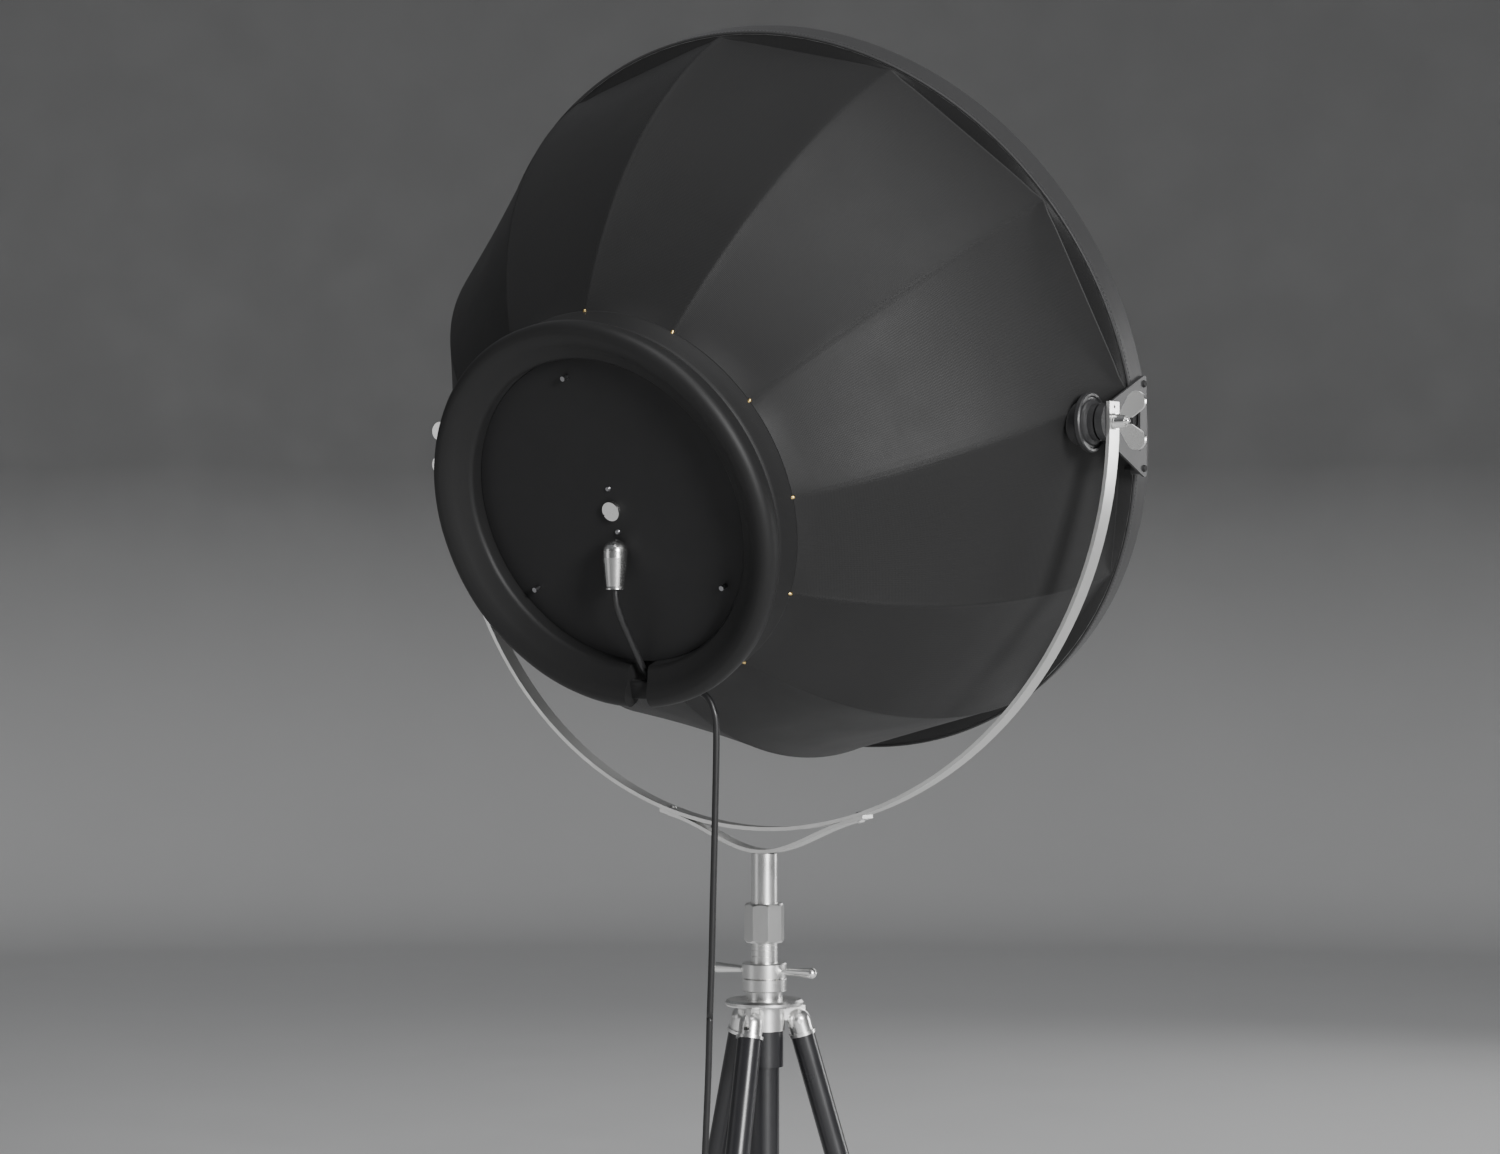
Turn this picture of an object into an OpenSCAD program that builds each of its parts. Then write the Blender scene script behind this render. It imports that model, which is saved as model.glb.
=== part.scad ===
// Umbrella-type studio reflector lamp: a twelve-panel fabric shade on a U-shaped yoke,
// carried by a telescopic mast on a folding tripod. Millimetres, +Z up, light shining to -Y.
// The origin is the middle of the lamp's footprint, on the floor.

/* [Stand] */
// Height of the shade's tilt axis above the floor
pivot_h = 1740; // [1600:10:1800]
// Upward tilt of the shade at rest, in degrees
tilt = 21; // [0:1:40]
// Lean of each leg from the vertical, in degrees
leg_lean = 16; // [14:1:20]
// Diameter of each leg tube
leg_d = 30; // [26:1:31]
// Diameter of the telescopic mast
mast_d = 33; // [30:1:33]

/* [Shade] */
// Outer diameter of the rim band
rim_d = 940; // [930:1:942]
// Depth from the rib roots to the rim's front edge
shade_depth = 421; // [415:1:425]
// Number of fabric panels, one between each pair of ribs
panels = 12; // [12:12:12]
// How far each panel dips below a flat sheet halfway between its ribs
panel_dip = 3; // [0:0.5:6]
// Thickness of the black cover cloth
cover_t = 1.6; // [1.2:0.1:2]
// Thickness of the white lining cloth
lining_t = 1; // [0.8:0.1:1.2]

/* [Yoke] */
// Radius of the yoke strip's middle line
yoke_r = 486.6; // [485:0.2:490]
// Width of the yoke strip
yoke_b = 23; // [20:0.5:26]
// Thickness of the yoke strip
yoke_t = 4.6; // [4:0.1:5]

/* [Cord] */
// Diameter of the supply cord
cord_d = 8; // [7:0.5:8]

/* [Hidden] */

$fn = 64;
eps = 0.05;
// Radial clearance of a running fit
fit = 0.07;

// The mast stands behind the middle of the footprint, because the shade's rear overhangs it.
mast_y = -77.5;

// Heights of the turned parts on the mast, measured down from the tilt axis
support_bottom = -517;
nut_top = -578.5;
nut_bottom = -626.7;
clamp_top = -651.8;
clamp_seam = -670.7;
clamp_bottom = -686.7;
flange_top = -696.7;
flange_bottom = -704.6;
hub_bottom = -735;
sleeve_bottom = -779.4;
column_bottom = -1330;
mast_bottom = -1250;

// Turned radii
mast_r = mast_d / 2;
spigot_r = 12;
stub_bore = 12 + fit;
clamp_r = 27.4;
neck_r = 22.2;
flange_r = 48.4;
hub_r = 25.3;
sleeve_r = 23.5;
column_r = 18.6;
column_bore = 17.1;
nut_corner_r = 25;
mast_wall = 2;
spigot_l = 60;
handle_out = 76;
groove_z = [-630, -636, -643.5];

// Legs: azimuth of each, and the pivot under the flange
leg_az = [222, 342, 102];
leg_pivot_r = 42.7;
leg_pivot_z = -723;
leg_r = leg_d / 2;
cap_r = 14.8;
cap_rim_r = 17;
tongue_t = 6;
foot_r = 18;
foot_h = 26;
foot_l = 52;
foot_below = 34;
floor_half = 600;
leg_wall = 1.2;
pin_r = 3;

// Shade, in its own frame: z runs along the lamp axis towards the mouth, from the rib roots
root_r = 231.5;
rib_bend = 590;
rib_a0 = 36;
rib_a1 = 80.5;
rib_rod_r = 3.5;
rib_inset = 6.4;
rim_r = rim_d / 2;
band_rear = 383;
pivot_w = 300;
pivot_b = -17;
rib_c_r = root_r - rib_bend * sin(rib_a0);
rib_c_w = rib_bend * cos(rib_a0);
half_panel = 180 / panels;
panel_steps = 4;
profile_steps = 12;
last_row = profile_steps + 2;
seam_row = 7;
// Open width of the seams, as a share of a row and of a panel
seam_gap = 0.005;
seam_share = 0.9992;

// Rear end of the shade
plate_w = -30;
plate_r = 187.7;
plate_t = 2;
hub_plate_w = -12;
hub_plate_t = 2;
hub_plate_r = 222;
hub_bore = 20;
stud_r = 3;
stud_out = 9;
stud_circle = 165;
stud_az = [82, 215, 325];
plate_screw_b = 26.5;
screw_slot_turn = -21;
slot_w = 30;
slot_deep = 61;
band_slot_out = 26;
bridge_in = 206;
bridge_out = 228;
bridge_rear = -52;
bridge_t = 8;
ring_in = 188;
ring_out = 236;
ring_rear = -67;
holder_r = 27;
holder_bore = 20.4;
bulb_r = 45;
bulb_mid = 130;

// Cable gland and cord clip
gland_b = -46;
gland_w = -43;
gland_r = 14.3;
clip_at = [-32, -232, -16];

// Support strip under the yoke, and the rivets that join them
support_drop = 23.4;
support_half = 151;
support_flat = 24;
rivet_angle = 73.3;
rivet_r = 3;

// Tilt pivot
bolt_r = 4;
bolt_in = 436;
bolt_out = 505;
arm_top = 23;
boss_r = 35;
boss_neck_r = 22;
boss_face = 461;
boss_out = 483.4;
bracket_x = 471;
bracket_t = 3;
bracket_reach = 108;
bracket_half = 60;
bracket_screw_u = 101;
bracket_screw_v = 50;

// Cord routes: the first in the shade's frame, the others from the mast's foot point on the floor
cord_r = cord_d / 2;
upper_route = [
  [0, -83, -57], [0, -93, -60.5], [0, -105, -62], [0, -120, -60], [0, -138, -55.5], [0, -156, -50.5],
  [0, -174, -45.5], [0, -190, -41], [0, -202, -36.5], [-3, -213, -31], [-10, -223, -25],
  [-21, -230, -19], [-33, -232, -15.5], [-46, -232, -14]
];
drop_route = [
  [-47.2, 216, 1427], [-57, 216, 1425], [-67, 215, 1417], [-73, 214, 1404], [-75, 212, 1388],
  [-73, 209, 1350], [-69, 205, 1300], [-64, 200, 1240], [-58, 194, 1180], [-52, 188, 1110],
  [-45, 182, 1040.5]
];
middle_route = [[-45, 182, 1039.5], [-39, 176, 980], [-32, 170, 920], [-24, 163, 860.5]];
lower_route = [
  [-24, 163, 859.5], [-16, 154, 800], [-6, 143, 720], [3, 132, 630], [10, 122, 540], [15, 113, 450],
  [18, 104, 360], [20, 95, 270], [21, 86, 190], [23, 79, 120], [28, 74, 70], [37, 71, 36],
  [48, 70, 18], [62, 70, 10]
];

// The cord's slack: a foot switch, then a coil, then the plug, all on the floor
switch_at = [122, 70];
switch_l = 76;
switch_w = 44;
switch_h = 22;
relief_l = 22;
cord_h = 10;
button_r = 12;
coil_at = [220, 126];
coil_inner = 33.5;
coil_outer = 56;
coil_h = 16.4;
plug_l = 36;
plug_r = 15;
plug_out = 42;
coil_chord = sqrt(pow(coil_outer + cord_r, 2) - pow(coil_outer, 2));
link_route = [
  [switch_at[0] + switch_l / 2 + relief_l, switch_at[1], cord_h],
  [coil_at[0] - coil_chord - 8, switch_at[1], cord_r + 1],
  [coil_at[0] - coil_chord, switch_at[1], cord_r]
];
tail_route = [
  [coil_at[0] - coil_chord, coil_at[1] + coil_outer, coil_h - cord_r],
  [coil_at[0] - plug_out, coil_at[1] + coil_outer, plug_r]
];

// ---------------------------------------------------------------- helpers

// Puts a shape drawn in the shade's frame where the tilted shade is
module head_frame() {
  translate([0, mast_y, pivot_h])
    rotate([90 - tilt, 0, 0])
      translate([0, -pivot_b, -pivot_w])
        children();
}

// Puts a shape drawn about the tilt axis in place, not tilted
module pivot_frame() {
  translate([0, mast_y, pivot_h]) children();
}

// Puts a shape drawn about the mast's foot point in place
module mast_frame() {
  translate([0, mast_y, 0]) children();
}

// A turned ring or tube on the mast, between two depths below the tilt axis
module turned(z0, z1, outer, bore = 0) {
  pivot_frame()
    translate([0, 0, z0])
      difference() {
        cylinder(h = z1 - z0, r = outer);
        if (bore > 0) translate([0, 0, -1]) cylinder(h = z1 - z0 + 2, r = bore);
      }
}

// Both sides of the lamp: a shape drawn at +X, and its mirror image
module both_sides() {
  children();
  mirror([1, 0, 0]) children();
}

// A shape repeated at each rib, drawn at azimuth 0 of the shade's frame
module at_ribs() {
  for (k = [0 : panels - 1]) rotate([0, 0, 90 + 360 * k / panels]) children();
}

// A leg's frame: origin at its pivot, -Z along the leg
module leg_frame(k) {
  pivot_frame()
    rotate([0, 0, leg_az[k]])
      translate([leg_pivot_r, 0, leg_pivot_z])
        rotate([0, -leg_lean, 0])
          children();
}

function unit(v) = v / norm(v);
function path_dir(p, i) =
  unit(p[min(i + 1, len(p) - 1)] - p[max(i - 1, 0)]);
function side_of(d) =
  unit(abs(d[2]) > 0.9 ? cross(d, [0, 1, 0]) : cross(d, [0, 0, 1]));
// One ring of a tube, kept from twisting by carrying the last ring's side direction along
function carried(side, d) = unit(side - d * (side * d));
function sides(p, i = 0, acc = []) =
  i == len(p) ? acc
  : sides(p, i + 1, concat(acc, [i == 0 ? side_of(path_dir(p, 0)) : carried(acc[i - 1], path_dir(p, i))]));
function tube_points(p, r, n) =
  let (s = sides(p))
  [for (i = [0 : len(p) - 1])
    let (d = path_dir(p, i), u = s[i], v = cross(d, u))
    for (k = [0 : n - 1]) p[i] + r * (cos(360 * k / n) * u + sin(360 * k / n) * v)];
function tube_faces(m, n) =
  concat(
    [[for (k = [0 : n - 1]) k]],
    [for (i = [0 : m - 2]) for (k = [0 : n - 1])
      [i * n + k, (i + 1) * n + k, (i + 1) * n + (k + 1) % n, i * n + (k + 1) % n]],
    [[for (k = [n - 1 : -1 : 0]) (m - 1) * n + k]]);
// Points between the route's own points, on a smooth curve through them
function spline_at(p, i, t) =
  let (n = len(p) - 1,
       a = p[max(i - 1, 0)], b = p[i], c = p[min(i + 1, n)], e = p[min(i + 2, n)])
  0.5 * (2 * b + (c - a) * t + (2 * a - 5 * b + 4 * c - e) * t * t + (3 * b - a - 3 * c + e) * t * t * t);
function smooth_path(p, steps) =
  concat([for (i = [0 : len(p) - 2]) for (t = [0 : steps - 1]) spline_at(p, i, t / steps)],
         [p[len(p) - 1]]);

// A round cord along a route
module cord(route, steps) {
  path = smooth_path(route, steps);
  polyhedron(points = tube_points(path, cord_r, 10), faces = tube_faces(len(path), 10), convexity = 6);
}

// ---------------------------------------------------------------- tripod

module tripod_flange() {
  color("silver") {
    turned(flange_top, clamp_bottom, neck_r, mast_r + 0.4);
    pivot_frame()
      rotate_extrude()
        polygon([
          [mast_r + 0.4, flange_bottom], [flange_r - 2, flange_bottom], [flange_r, flange_bottom + 2],
          [flange_r, flange_top - 3], [flange_r - 3, flange_top], [mast_r + 0.4, flange_top + eps]]);
  }
}

// The hub under the flange has a tongue for each leg
module tripod_hub() {
  color("silver") {
    turned(hub_bottom, flange_bottom, hub_r, column_r);
    pivot_frame()
      for (az = leg_az)
        rotate([0, 0, az])
          difference() {
            union() {
              translate([hub_r - 3, -tongue_t / 2, leg_pivot_z])
                cube([leg_pivot_r - hub_r + 11, tongue_t, flange_bottom - leg_pivot_z]);
              translate([leg_pivot_r, tongue_t / 2, leg_pivot_z])
                rotate([90, 0, 0]) cylinder(h = tongue_t, r = 8);
            }
            translate([leg_pivot_r, tongue_t, leg_pivot_z])
              rotate([90, 0, 0]) cylinder(h = 2 * tongue_t, r = pin_r + fit);
          }
  }
}

module column_sleeve() {
  color("#1c1c1e") turned(sleeve_bottom, hub_bottom, sleeve_r, column_r);
}

module column_tube() {
  color("#1c1c1e") turned(column_bottom, flange_bottom, column_r, column_bore);
}

module column_end_cap() {
  color("#151515") turned(column_bottom - 12, column_bottom, column_r + 1.5);
}

// ---------------------------------------------------------------- mast clamp

module lower_clamp_ring() {
  color("silver")
    pivot_frame()
      rotate_extrude()
        polygon([
          [mast_r + 2, clamp_bottom], [clamp_r - 1, clamp_bottom], [clamp_r, clamp_bottom + 1],
          [clamp_r, clamp_seam - 1.4], [clamp_r - 0.8, clamp_seam - 0.6], [mast_r + 2, clamp_seam - 0.6]]);
}

// A split sleeve that the clamp ring squeezes on the mast
module clamp_collet() {
  color("goldenrod")
    difference() {
      turned(clamp_bottom + 1, clamp_top - 4, mast_r + 1.8, mast_r + fit);
      pivot_frame()
        for (k = [0 : 2])
          rotate([0, 0, 120 * k])
            translate([mast_r - 1, -0.8, clamp_bottom + 5]) cube([6, 1.6, 60]);
    }
}

module clamp_ring() {
  color("silver")
    pivot_frame()
      rotate_extrude()
        polygon([
          [mast_r + 2.1, clamp_seam], [clamp_r - 0.8, clamp_seam], [clamp_r, clamp_seam + 0.8],
          [clamp_r, clamp_top - 1.5], [clamp_r - 1.5, clamp_top], [mast_r + 0.3, clamp_top],
          [mast_r + 0.3, clamp_top - 3.5], [mast_r + 2.1, clamp_top - 3.5]]);
}

// A tapered bar with a round end, drawn along +Z and turned outwards
module clamp_handles() {
  color("silver")
    both_sides()
      translate([0, mast_y, pivot_h + (clamp_top + clamp_seam) / 2])
        rotate([0, 90, 0])
          translate([0, 0, clamp_r - 0.3]) {
            cylinder(h = 6, r = 3.4);
            translate([0, 0, 6]) cylinder(h = handle_out - clamp_r - 12.2, r1 = 4, r2 = 6.5);
            translate([0, 0, handle_out - clamp_r - 6.2]) sphere(r = 6.5);
          }
}

// ---------------------------------------------------------------- mast

module mast_pole() {
  color("silver")
    difference() {
      union() {
        turned(mast_bottom, nut_top - 22, mast_r);
        turned(nut_top - 22 - eps, nut_top + 40, spigot_r);
      }
      turned(mast_bottom - 1, nut_top - spigot_l, mast_r - mast_wall);
      pivot_frame()
        for (z = groove_z)
          translate([0, 0, z])
            rotate_extrude() translate([mast_r, 0]) circle(r = 0.8, $fn = 24);
    }
}

module mast_guide() {
  color("#202020") turned(mast_bottom - 14, mast_bottom, column_bore - fit);
}

// Eight-sided union nut that locks the yoke's stub on the mast
module swivel_nut() {
  color("silver")
    pivot_frame()
      difference() {
        intersection() {
          translate([0, 0, nut_bottom]) cylinder(h = nut_top - nut_bottom, r = nut_corner_r, $fn = 8);
          rotate_extrude()
            polygon([
              [0, nut_bottom], [nut_corner_r - 3, nut_bottom], [nut_corner_r + 0.5, nut_bottom + 4],
              [nut_corner_r + 0.5, nut_top - 4], [nut_corner_r - 3, nut_top], [0, nut_top]]);
        }
        translate([0, 0, nut_bottom - 1]) cylinder(h = nut_top - nut_bottom + 2, r = mast_r + fit);
      }
}

// ---------------------------------------------------------------- yoke

module yoke_stub() {
  color("silver") turned(nut_top - 20, support_bottom, mast_r, stub_bore);
}

// Depth of the support strip's top face at a distance x from the mast
function support_z(x) =
  let (s = min(abs(x) / (support_half - support_flat), 1))
  -sqrt(pow(yoke_r + yoke_t / 2, 2) - x * x) - support_drop * (0.5 + 0.5 * cos(180 * s));
support_x = [for (i = [-24 : 24]) i * support_half / 24];
module yoke_support() {
  color("silver")
    difference() {
      pivot_frame()
        translate([0, yoke_b / 2, 0])
          rotate([90, 0, 0])
            linear_extrude(height = yoke_b)
              polygon(concat(
                [for (x = support_x) [x, support_z(x)]],
                [for (i = [len(support_x) - 1 : -1 : 0]) [support_x[i], support_z(support_x[i]) - yoke_t]]));
      both_sides() rivet_axis() translate([0, 0, -20]) cylinder(h = 40, r = rivet_r);
    }
}

// Places a shape on the rivet through the two strips, +Z outwards
module rivet_axis() {
  pivot_frame()
    rotate([0, rivet_angle, 0])
      translate([yoke_r, 0, 0])
        rotate([0, 90, 0])
          children();
}

// Half a ring with two straight arms
module yoke_strip() {
  outer = yoke_r + yoke_t / 2;
  inner = yoke_r - yoke_t / 2;
  color("silver")
    difference() {
      pivot_frame()
        difference() {
          union() {
            translate([0, yoke_b / 2, 0]) rotate([90, 0, 0]) cylinder(h = yoke_b, r = outer, $fn = 180);
            translate([-outer, -yoke_b / 2, 0]) cube([2 * outer, yoke_b, arm_top]);
          }
          translate([0, yoke_b, 0]) rotate([90, 0, 0]) cylinder(h = 2 * yoke_b, r = inner, $fn = 180);
          translate([-inner, -yoke_b, 0]) cube([2 * inner, 2 * yoke_b, 2 * outer]);
          translate([-2 * outer, -yoke_b, arm_top]) cube([4 * outer, 2 * yoke_b, 2 * outer]);
        }
      both_sides() {
        pivot_frame() translate([yoke_r - 10, 0, 0]) rotate([0, 90, 0]) cylinder(h = 20, r = bolt_r + fit);
        pivot_frame() translate([yoke_r - 10, 0, 17]) rotate([0, 90, 0]) cylinder(h = 20, r = 2);
        rivet_axis() translate([0, 0, -20]) cylinder(h = 40, r = rivet_r);
      }
    }
}

module yoke_rivets() {
  color("silver")
    both_sides()
      rivet_axis() {
        translate([0, 0, -yoke_t / 2]) cylinder(h = 2 * yoke_t, r = rivet_r);
        translate([0, 0, -yoke_t / 2 - 2]) cylinder(h = 2, r1 = 4, r2 = 5.5);
        translate([0, 0, 3 * yoke_t / 2]) cylinder(h = 2, r1 = 5.5, r2 = 4);
      }
}

// ---------------------------------------------------------------- wing nuts

module wing_nut() {
  hub_l = 15;
  lobe_r = 12;
  lobe_out = 28;
  lobe_up = 22;
  translate([yoke_r + yoke_t / 2 + 0.3, mast_y, pivot_h])
    difference() {
      union() {
        rotate([0, 90, 0]) cylinder(h = 3, r = 9.5);
        rotate([0, 90, 0]) cylinder(h = hub_l, r1 = 9, r2 = 7);
        for (side = [-1, 1])
          translate([0, 2, 0])
            rotate([90, 0, 0])
              linear_extrude(height = 4)
                hull() {
                  translate([7, 0]) circle(r = 5, $fn = 32);
                  translate([lobe_out, side * lobe_up]) circle(r = lobe_r, $fn = 48);
                }
      }
      translate([-1, 0, 0]) rotate([0, 90, 0]) cylinder(h = hub_l + 20, r = bolt_r + fit);
    }
}

module wing_nut_right() {
  color("silver") wing_nut();
}

module wing_nut_left() {
  color("silver") mirror([1, 0, 0]) wing_nut();
}

// ---------------------------------------------------------------- legs

module leg_cap(k) {
  color("silver")
    leg_frame(k)
      difference() {
        union() {
          sphere(r = cap_r);
          translate([0, 0, -16]) cylinder(h = 16, r = cap_r);
          translate([0, 0, -19]) cylinder(h = 4, r = cap_rim_r);
        }
        // slot for the hub's tongue
        translate([-40, -tongue_t / 2 - 0.3, -10]) cube([80, tongue_t + 0.6, 40]);
        translate([0, 30, 0]) rotate([90, 0, 0]) cylinder(h = 60, r = pin_r);
      }
}

module leg_tube(k) {
  color("#1c1c1e")
    leg_frame(k)
      translate([0, 0, -leg_length()])
        difference() {
          cylinder(h = leg_length() - 19, r = leg_r);
          translate([0, 0, -1]) cylinder(h = leg_length() - 17, r = leg_r - leg_wall);
        }
}
function leg_length() = (pivot_h + leg_pivot_z - 0.6 * foot_h) / cos(leg_lean);

// Rubber foot cut level with the floor
module leg_foot(k) {
  color("#111111")
    difference() {
      leg_frame(k)
        translate([0, 0, -leg_length() - foot_below]) {
          difference() {
            cylinder(h = foot_l, r = foot_r);
            translate([0, 0, foot_below]) cylinder(h = 30, r = leg_r);
          }
        }
      translate([-floor_half, -floor_half, -100]) cube([2 * floor_half, 2 * floor_half, 100]);
    }
}

module leg_pin(k) {
  color("silver")
    leg_frame(k)
      translate([0, cap_r - 0.5, 0]) rotate([90, 0, 0]) cylinder(h = 2 * cap_r - 1, r = pin_r);
}

module leg_1_cap() { leg_cap(0); }
module leg_1_tube() { leg_tube(0); }
module leg_1_foot() { leg_foot(0); }
module leg_1_pin() { leg_pin(0); }
module leg_2_cap() { leg_cap(1); }
module leg_2_tube() { leg_tube(1); }
module leg_2_foot() { leg_foot(1); }
module leg_2_pin() { leg_pin(1); }
module leg_3_cap() { leg_cap(2); }
module leg_3_tube() { leg_tube(2); }
module leg_3_foot() { leg_foot(2); }
module leg_3_pin() { leg_pin(2); }

// ---------------------------------------------------------------- shade

// A point of the rib line, at radius and depth, offset inwards by inset
function rib_point(a, inset) =
  [rib_c_r + (rib_bend - inset) * sin(a), rib_c_w - (rib_bend - inset) * cos(a)];

// Distance of a flat panel from the lamp axis at angle f from its middle, where its rib is at r
function panel_r(r, f, dip) =
  (r * cos(half_panel) - dip * (1 - pow(f / half_panel, 2))) / cos(f);

// Radius and depth of the skin at row i and angle f from a panel's middle. The first and last
// rows are round, where the cloth meets the rear band and the rim band.
function skin_at(i, f, inset) =
  i == 0 ? [root_r - 2 - inset, -1.5]
  : i == last_row ? [rim_r - 3.4 - inset, band_rear + 2]
  : let (s = (i - 1) / profile_steps, p = rib_point(rib_a0 + (rib_a1 - rib_a0) * s, inset))
    [panel_r(p[0], f, panel_dip * sin(180 * s)), p[1]];

// A piece of cloth on panel k, over some of the rows
module gore(k, rows, outer_inset, inner_inset) {
  az = 90 + half_panel * (2 * k + 1);
  turns = [for (j = [0 : panel_steps]) half_panel * (2 * j / panel_steps - 1) * seam_share];
  n = panel_steps + 1;
  m = len(rows);
  base = m * n;
  end = (m - 1) * n;
  points = [for (inset = [outer_inset, inner_inset]) for (i = rows) for (f = turns)
    let (q = skin_at(i, f, inset)) [q[0] * cos(az + f), q[0] * sin(az + f), q[1]]];
  cells = [for (i = [0 : m - 2]) for (j = [0 : n - 2]) i * n + j];
  faces = concat(
    [for (a = cells) each [[a, a + n, a + 1], [a + 1, a + n, a + n + 1]]],
    [for (c = cells) let (a = base + c) each [[a, a + 1, a + n], [a + 1, a + n + 1, a + n]]],
    [for (j = [0 : n - 2]) let (a = j, b = end + j)
      each [[a, a + 1, base + a], [a + 1, base + a + 1, base + a],
            [b, base + b, b + 1], [b + 1, base + b, base + b + 1]]],
    [for (i = [0 : m - 2]) let (a = i * n, b = i * n + n - 1)
      each [[a + n, a, base + a], [a + n, base + a, base + a + n],
            [b, b + n, base + b + n], [b, base + b + n, base + b]]]);
  polyhedron(points = points, faces = faces, convexity = 4);
}

// A layer of cloth, in two pieces on each panel that meet at a cross seam
module skin(outer_inset, inner_inset) {
  for (k = [0 : panels - 1]) {
    gore(k, [for (i = [0 : seam_row]) i], outer_inset, inner_inset);
    gore(k, concat([seam_row + seam_gap], [for (i = [seam_row + 1 : last_row]) i]), outer_inset, inner_inset);
  }
}

module shade_cover() {
  color("#2a2a2c") head_frame() skin(0, cover_t);
}

module shade_lining() {
  color("#e8e8e6") head_frame() skin(cover_t, cover_t + lining_t);
}

// Spring-steel ribs, each a bent rod under a seam
module ribs() {
  color("dimgray")
    head_frame()
      at_ribs()
        translate([rib_c_r, 0, rib_c_w])
          rotate([90, 0, 0])
            rotate([0, 0, rib_a0 - 90])
              rotate_extrude(angle = rib_a1 - rib_a0, $fn = 120)
                translate([rib_bend - rib_inset, 0]) circle(r = rib_rod_r, $fn = 16);
}

// Brass sockets that hold the ribs' roots
module rib_roots() {
  p = rib_point(rib_a0, rib_inset);
  color("goldenrod")
    head_frame()
      at_ribs()
        translate([p[0], 0, p[1]])
          rotate([0, -(90 + rib_a0), 0])
            cylinder(h = 26, r = 3.7, $fn = 24);
}

module rim_band() {
  color("#3a3a3c")
    head_frame()
      rotate_extrude($fn = 180)
        polygon([
          [rim_r - 3, band_rear], [rim_r - 1.5, band_rear - 1.5], [rim_r, band_rear],
          [rim_r, shade_depth - 1.5], [rim_r - 1.5, shade_depth], [rim_r - 3, shade_depth - 1.5]]);
}

// ---------------------------------------------------------------- rear end

module hub_plate() {
  color("#303032")
    head_frame()
      translate([0, 0, hub_plate_w - hub_plate_t])
        difference() {
          cylinder(h = hub_plate_t, r = hub_plate_r, $fn = 120);
          translate([0, 0, -1]) cylinder(h = hub_plate_t + 2, r = hub_bore);
          for (az = stud_az)
            rotate([0, 0, az]) translate([stud_circle, 0, -1]) cylinder(h = 8, r = stud_r);
        }
}

module back_plate() {
  color("#242426")
    head_frame()
      translate([0, 0, plate_w])
        difference() {
          cylinder(h = plate_t, r = plate_r, $fn = 120);
          for (az = stud_az)
            rotate([0, 0, az]) translate([stud_circle, 0, -1]) cylinder(h = 8, r = stud_r);
          translate([0, 0, -1]) cylinder(h = 8, r = 5.06);
          for (y = [-1, 1]) translate([0, y * plate_screw_b, -1]) cylinder(h = 8, r = 2);
        }
}

module plate_studs() {
  color("#2a2a2a")
    head_frame()
      for (az = stud_az)
        rotate([0, 0, az])
          translate([stud_circle, 0, plate_w - stud_out]) {
            cylinder(h = stud_out + hub_plate_w - plate_w, r = stud_r);
            translate([0, 0, stud_out + plate_t]) cylinder(h = 5, r = 6, $fn = 6);
          }
}

module plate_screws() {
  color("#2a2a2a")
    head_frame()
      for (y = [-1, 1])
        translate([0, y * plate_screw_b, plate_w]) {
          translate([0, 0, -2]) cylinder(h = 2, r1 = 2.4, r2 = 3.4);
          cylinder(h = 12, r = 2);
        }
}

// Slotted thumb screw in the middle of the back plate, which holds the lampholder
module centre_screw() {
  color("silver")
    head_frame()
      difference() {
        union() {
          translate([0, 0, plate_w - 5.4]) cylinder(h = 5, r = 11.5);
          translate([0, 0, plate_w - 2]) cylinder(h = 22, r = 5);
        }
        rotate([0, 0, screw_slot_turn]) translate([-12, -0.9, plate_w - 6.4]) cube([24, 1.8, 2.4]);
      }
}

// The notch at the bottom of the padded ring, crossed by a thin bridge
module ring_notch() {
  difference() {
    translate([-slot_w / 2, -ring_out - 4, ring_rear - 1]) cube([slot_w, ring_out - ring_in + 16, slot_deep]);
    translate([-slot_w, -bridge_out, bridge_rear]) cube([2 * slot_w, bridge_out - bridge_in, bridge_t]);
  }
}

// Padded ring around the back plate, with a notch that the cord runs through
module rear_ring() {
  color("#1e1e20")
    head_frame()
      difference() {
        rotate_extrude($fn = 120)
          polygon(concat(
            [[ring_in + 3, hub_plate_w - hub_plate_t], [ring_in, plate_w + plate_t]],
            [for (a = [180 : 15 : 255]) [ring_in + 8 + 8 * cos(a), -43 + 8 * sin(a)]],
            [for (a = [260 : 10 : 360]) [ring_out - 12 + 12 * cos(a), -55 + 12 * sin(a)]],
            [[ring_out - 1, -46], [ring_out - 4, -38], [ring_out - 9, -32.5], [223, -31],
             [221, hub_plate_w - hub_plate_t]]));
        ring_notch();
      }
}

// Cloth band between the padded ring and the rib roots
module rear_band() {
  color("#222224")
    head_frame()
      difference() {
        rotate_extrude($fn = 120)
          polygon([[223.6, -30.6], [225.2, -30.6], [228, -16], [231.4, -1], [229.8, -1], [226.4, -16]]);
        translate([-band_slot_out, -ring_out - 4, ring_rear])
          cube([band_slot_out + slot_w / 2, ring_out - ring_in, hub_plate_w - ring_rear]);
      }
}

// ---------------------------------------------------------------- tilt pivot

// The space inside the shade's ribs, a little oversize
module shade_envelope() {
  head_frame()
    rotate_extrude($fn = 120)
      polygon(concat([[0, 0]], [for (i = [0 : profile_steps])
        rib_point(rib_a0 + (rib_a1 - rib_a0) * i / profile_steps, -0.3)], [[0, band_rear]]));
}

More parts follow.
